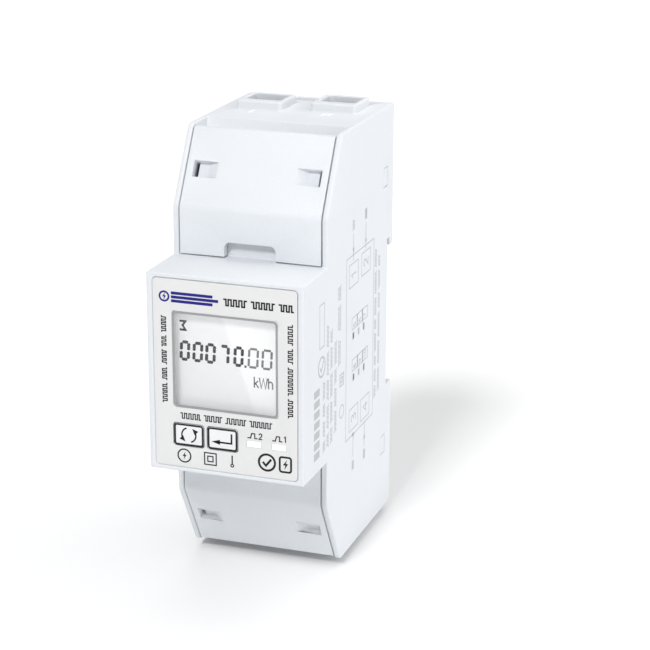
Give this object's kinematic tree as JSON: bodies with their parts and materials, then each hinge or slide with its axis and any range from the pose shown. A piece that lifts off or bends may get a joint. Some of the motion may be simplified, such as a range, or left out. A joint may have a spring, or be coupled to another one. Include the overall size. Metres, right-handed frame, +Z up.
{
  "type": "rail-mounted smart electricity meter",
  "caption": "Narrow rail-mounted electricity meter with a framed front display, push buttons, removable sloped terminal covers, cage-clamp terminals and a sprung rail clip.",
  "frame": {"origin": "centre of the face that rests on the mounting rail", "axes": "+X right seen from the front, +Y from the front towards the rail and wall, +Z up"},
  "size_m": [0.036, 0.063, 0.1038],
  "materials": {
    "case_plastic": "fine moulded texture, cool white",
    "cover_plastic": "fine moulded texture, slightly greyer white",
    "label_film": "satin printed film, light grey",
    "clear_window": "clear polished acrylic",
    "display_glass": "grey liquid crystal cell with black digits",
    "diffuser": "milky light guide",
    "black_plastic": "moulded black",
    "button_plastic": "satin moulded white, printed icon",
    "plunger_plastic": "moulded dark grey",
    "light_pipe": "translucent white",
    "led_package": "clear lens over a white package",
    "circuit_board": "green solder mask",
    "clip_plastic": "fine moulded texture, light grey",
    "plated_steel": "zinc plated, lightly brushed",
    "copper": "tinned copper, slightly oxidised",
    "shunt_alloy": "dull manganin",
    "lead_insulation": "smooth wire insulation",
    "aux_plastic": "moulded green",
    "contact_metal": "tin plated brass",
    "chip_plastic": "moulded epoxy",
    "film_box": "yellow box",
    "capacitor_sleeve": "shrink sleeve",
    "varistor_coat": "dipped epoxy",
    "ferrite": "sintered, dark grey"
  },
  "bodies": {
    "case": {"main_case": "case_plastic", "rear_base": "case_plastic", "front_label": "label_film", "display_window": "clear_window", "display_glass": "display_glass", "display_backlight": "diffuser", "display_holder": "black_plastic", "scroll_switch": "black_plastic", "enter_switch": "black_plastic", "pulse_window_1": "light_pipe", "pulse_window_2": "light_pipe", "pulse_leds": "led_package", "display_board": "circuit_board", "main_board": "circuit_board", "header_socket": "black_plastic", "header_pins": "black_plastic", "live_busbar_in": "copper", "current_shunt": "shunt_alloy", "live_busbar_out": "copper", "neutral_busbar": "copper", "sense_leads": "lead_insulation", "upper_aux_block": "aux_plastic", "lower_aux_block": "aux_plastic", "upper_aux_pins": "contact_metal", "lower_aux_pins": "contact_metal", "microcontroller": "chip_plastic", "metering_chip": "chip_plastic", "optocouplers": "chip_plastic", "film_capacitor": "film_box", "filter_capacitor": "capacitor_sleeve", "varistor": "varistor_coat", "inductor": "ferrite"},
    "upper_cover": {"upper_terminal_cover": "cover_plastic"},
    "lower_cover": {"lower_terminal_cover": "cover_plastic"},
    "scroll_button": {"scroll_button": "button_plastic", "scroll_switch_plunger": "plunger_plastic"},
    "enter_button": {"enter_button": "button_plastic", "enter_switch_plunger": "plunger_plastic"},
    "rail_clip": {"rail_clip": "clip_plastic"},
    "screw_1": {"terminal_1_screw": "plated_steel"},
    "cage_1": {"terminal_1_cage": "plated_steel"},
    "screw_2": {"terminal_2_screw": "plated_steel"},
    "cage_2": {"terminal_2_cage": "plated_steel"},
    "screw_3": {"terminal_3_screw": "plated_steel"},
    "cage_3": {"terminal_3_cage": "plated_steel"},
    "screw_4": {"terminal_4_screw": "plated_steel"},
    "cage_4": {"terminal_4_cage": "plated_steel"},
    "aux_screw_5": {"aux_screw_5": "plated_steel"},
    "aux_cage_5": {"aux_cage_5": "plated_steel"},
    "aux_screw_6": {"aux_screw_6": "plated_steel"},
    "aux_cage_6": {"aux_cage_6": "plated_steel"},
    "aux_screw_7": {"aux_screw_7": "plated_steel"},
    "aux_cage_7": {"aux_cage_7": "plated_steel"},
    "aux_screw_8": {"aux_screw_8": "plated_steel"},
    "aux_cage_8": {"aux_cage_8": "plated_steel"},
    "aux_screw_9": {"aux_screw_9": "plated_steel"},
    "aux_cage_9": {"aux_cage_9": "plated_steel"},
    "aux_screw_10": {"aux_screw_10": "plated_steel"},
    "aux_cage_10": {"aux_cage_10": "plated_steel"}
  },
  "joints": [
    {"name": "upper_cover_pull", "type": "slide", "parent": "case", "child": "upper_cover", "axis": [0, -1, 0], "range_m": [0, 0.045]},
    {"name": "lower_cover_pull", "type": "slide", "parent": "case", "child": "lower_cover", "axis": [0, -1, 0], "range_m": [0, 0.045]},
    {"name": "scroll_press", "type": "slide", "parent": "case", "child": "scroll_button", "axis": [0, 1, 0], "range_m": [0, 0.0005], "stiffness_N_per_m": 2500, "springref_m": -0.0001},
    {"name": "enter_press", "type": "slide", "parent": "case", "child": "enter_button", "axis": [0, 1, 0], "range_m": [0, 0.0005], "stiffness_N_per_m": 2500, "springref_m": -0.0001},
    {"name": "clip_release", "type": "slide", "parent": "case", "child": "rail_clip", "axis": [0, 0, -1], "range_m": [0, 0.003], "stiffness_N_per_m": 1500, "springref_m": -0.003},
    {"name": "screw_1_turn", "type": "hinge", "parent": "case", "child": "screw_1", "pos_m": [-0.0085, -0.027, 0.0385], "axis": [0, 1, 0], "range_deg": [0, 2882]},
    {"name": "cage_1_close", "type": "slide", "parent": "case", "child": "cage_1", "axis": [0, -1, 0], "range_m": [0, 0.0064]},
    {"name": "screw_2_turn", "type": "hinge", "parent": "case", "child": "screw_2", "pos_m": [0.0085, -0.027, 0.0385], "axis": [0, 1, 0], "range_deg": [0, 2882]},
    {"name": "cage_2_close", "type": "slide", "parent": "case", "child": "cage_2", "axis": [0, -1, 0], "range_m": [0, 0.0064]},
    {"name": "screw_3_turn", "type": "hinge", "parent": "case", "child": "screw_3", "pos_m": [-0.0085, -0.027, -0.0385], "axis": [0, 1, 0], "range_deg": [0, 2882]},
    {"name": "cage_3_close", "type": "slide", "parent": "case", "child": "cage_3", "axis": [0, -1, 0], "range_m": [0, 0.0064]},
    {"name": "screw_4_turn", "type": "hinge", "parent": "case", "child": "screw_4", "pos_m": [0.0085, -0.027, -0.0385], "axis": [0, 1, 0], "range_deg": [0, 2882]},
    {"name": "cage_4_close", "type": "slide", "parent": "case", "child": "cage_4", "axis": [0, -1, 0], "range_m": [0, 0.0064]},
    {"name": "aux_screw_5_turn", "type": "hinge", "parent": "case", "child": "aux_screw_5", "pos_m": [-0.005, -0.039, 0.0298], "axis": [0, 1, 0], "range_deg": [0, 2082]},
    {"name": "aux_cage_5_close", "type": "slide", "parent": "case", "child": "aux_cage_5", "axis": [0, -1, 0], "range_m": [0, 0.0026]},
    {"name": "aux_screw_6_turn", "type": "hinge", "parent": "case", "child": "aux_screw_6", "pos_m": [0, -0.039, 0.0298], "axis": [0, 1, 0], "range_deg": [0, 2082]},
    {"name": "aux_cage_6_close", "type": "slide", "parent": "case", "child": "aux_cage_6", "axis": [0, -1, 0], "range_m": [0, 0.0026]},
    {"name": "aux_screw_7_turn", "type": "hinge", "parent": "case", "child": "aux_screw_7", "pos_m": [0.005, -0.039, 0.0298], "axis": [0, 1, 0], "range_deg": [0, 2082]},
    {"name": "aux_cage_7_close", "type": "slide", "parent": "case", "child": "aux_cage_7", "axis": [0, -1, 0], "range_m": [0, 0.0026]},
    {"name": "aux_screw_8_turn", "type": "hinge", "parent": "case", "child": "aux_screw_8", "pos_m": [-0.005, -0.039, -0.0298], "axis": [0, 1, 0], "range_deg": [0, 2082]},
    {"name": "aux_cage_8_close", "type": "slide", "parent": "case", "child": "aux_cage_8", "axis": [0, -1, 0], "range_m": [0, 0.0026]},
    {"name": "aux_screw_9_turn", "type": "hinge", "parent": "case", "child": "aux_screw_9", "pos_m": [0, -0.039, -0.0298], "axis": [0, 1, 0], "range_deg": [0, 2082]},
    {"name": "aux_cage_9_close", "type": "slide", "parent": "case", "child": "aux_cage_9", "axis": [0, -1, 0], "range_m": [0, 0.0026]},
    {"name": "aux_screw_10_turn", "type": "hinge", "parent": "case", "child": "aux_screw_10", "pos_m": [0.005, -0.039, -0.0298], "axis": [0, 1, 0], "range_deg": [0, 2082]},
    {"name": "aux_cage_10_close", "type": "slide", "parent": "case", "child": "aux_cage_10", "axis": [0, -1, 0], "range_m": [0, 0.0026]}
  ],
  "couplings": [
    {"joint": "screw_1_turn", "follows": "cage_1_close", "rad_per_m": 7854},
    {"joint": "screw_2_turn", "follows": "cage_2_close", "rad_per_m": 7854},
    {"joint": "screw_3_turn", "follows": "cage_3_close", "rad_per_m": 7854},
    {"joint": "screw_4_turn", "follows": "cage_4_close", "rad_per_m": 7854},
    {"joint": "aux_screw_5_turn", "follows": "aux_cage_5_close", "rad_per_m": 13963},
    {"joint": "aux_screw_6_turn", "follows": "aux_cage_6_close", "rad_per_m": 13963},
    {"joint": "aux_screw_7_turn", "follows": "aux_cage_7_close", "rad_per_m": 13963},
    {"joint": "aux_screw_8_turn", "follows": "aux_cage_8_close", "rad_per_m": 13963},
    {"joint": "aux_screw_9_turn", "follows": "aux_cage_9_close", "rad_per_m": 13963},
    {"joint": "aux_screw_10_turn", "follows": "aux_cage_10_close", "rad_per_m": 13963}
  ]
}
